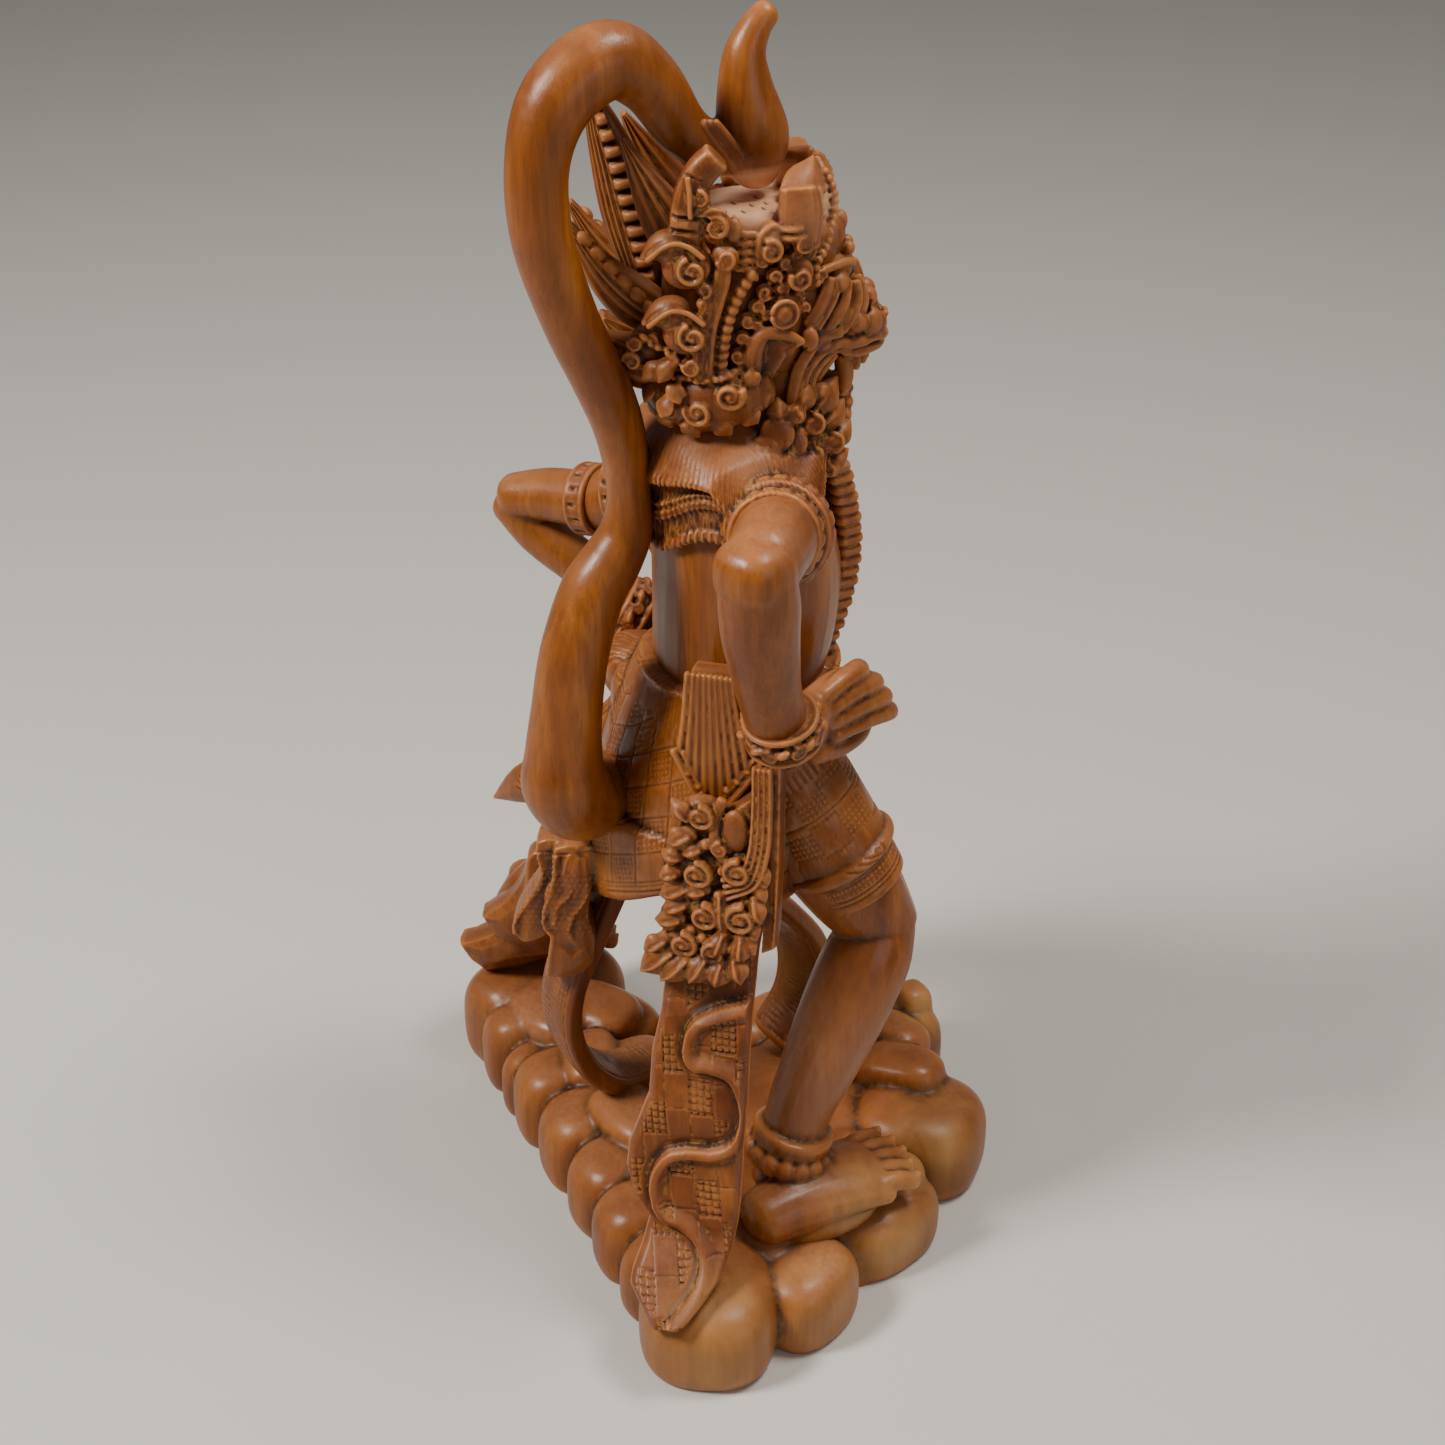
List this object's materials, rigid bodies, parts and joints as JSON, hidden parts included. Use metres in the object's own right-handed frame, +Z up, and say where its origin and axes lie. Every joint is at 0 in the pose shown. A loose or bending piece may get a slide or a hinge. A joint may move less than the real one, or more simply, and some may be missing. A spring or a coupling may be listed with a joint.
{
  "type": "hanuman statue",
  "caption": "Carved wooden Hanuman in a tall crown, hands on hips, tail looped over the crown, checked skirt and sashes, on a boulder base",
  "frame": {"origin": "on the flat underside, below the middle of the figure", "axes": "+Z up, the figure faces -Y, its right hand is towards -X"},
  "size_m": [0.2648, 0.2081, 0.5007],
  "materials": {
    "carved_wood": "hand-carved reddish brown hardwood, waxed and rubbed, with a paler sapwood zone in the right foot and the boulders under it"
  },
  "bodies": {
    "root": {"hanuman_statue": "carved_wood"}
  },
  "joints": []
}
